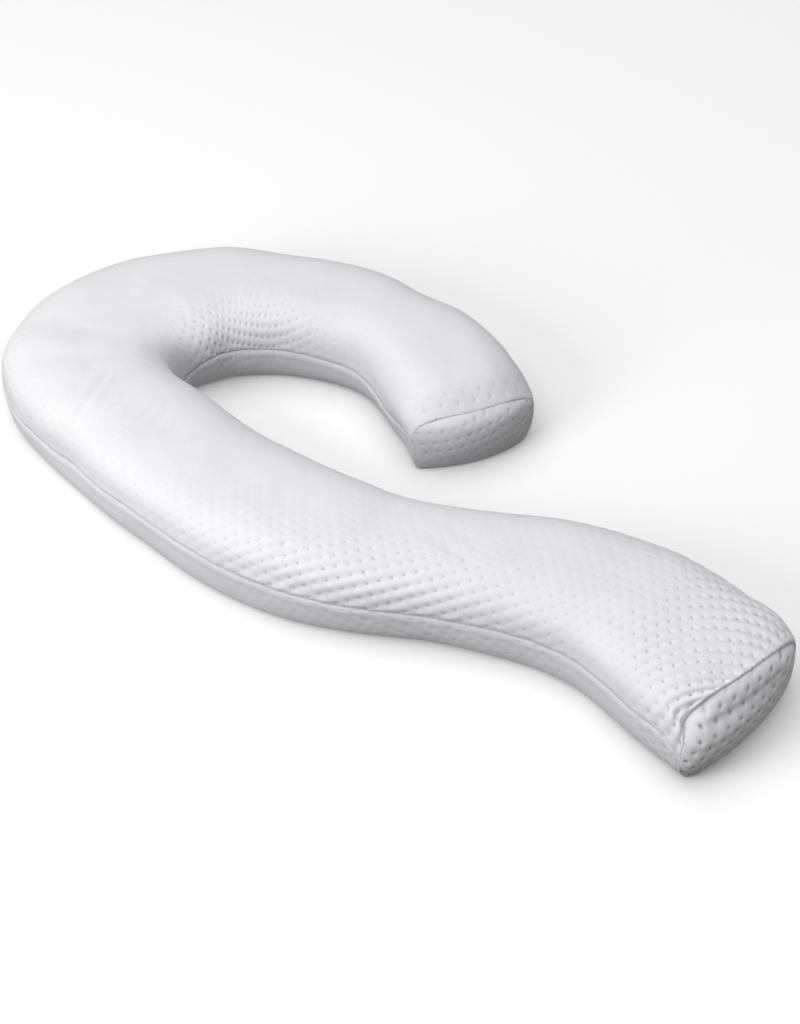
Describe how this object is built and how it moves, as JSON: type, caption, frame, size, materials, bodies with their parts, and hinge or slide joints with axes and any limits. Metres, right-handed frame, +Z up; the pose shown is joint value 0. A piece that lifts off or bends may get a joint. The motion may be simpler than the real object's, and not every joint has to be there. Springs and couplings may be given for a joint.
{
  "type": "body pillow",
  "caption": "Long filled pillow with a hooked head and a gently waved tail, side seams at half height and a sewn end panel at each end.",
  "frame": {"origin": "under the middle of the pillow's box, on the surface that it lies on", "axes": "+Z up, +X along the pillow's length from the hook towards the tail, +Y to the side on which the hook ends"},
  "size_m": [1.4824, 0.7196, 0.1443],
  "materials": {
    "cover_knit": "matte dimpled knit",
    "end_panel_knit": "matte dimpled knit"
  },
  "bodies": {
    "root": {"pillow_body": "cover_knit", "end_panel_hook": "end_panel_knit", "end_panel_tail": "end_panel_knit"}
  },
  "joints": []
}
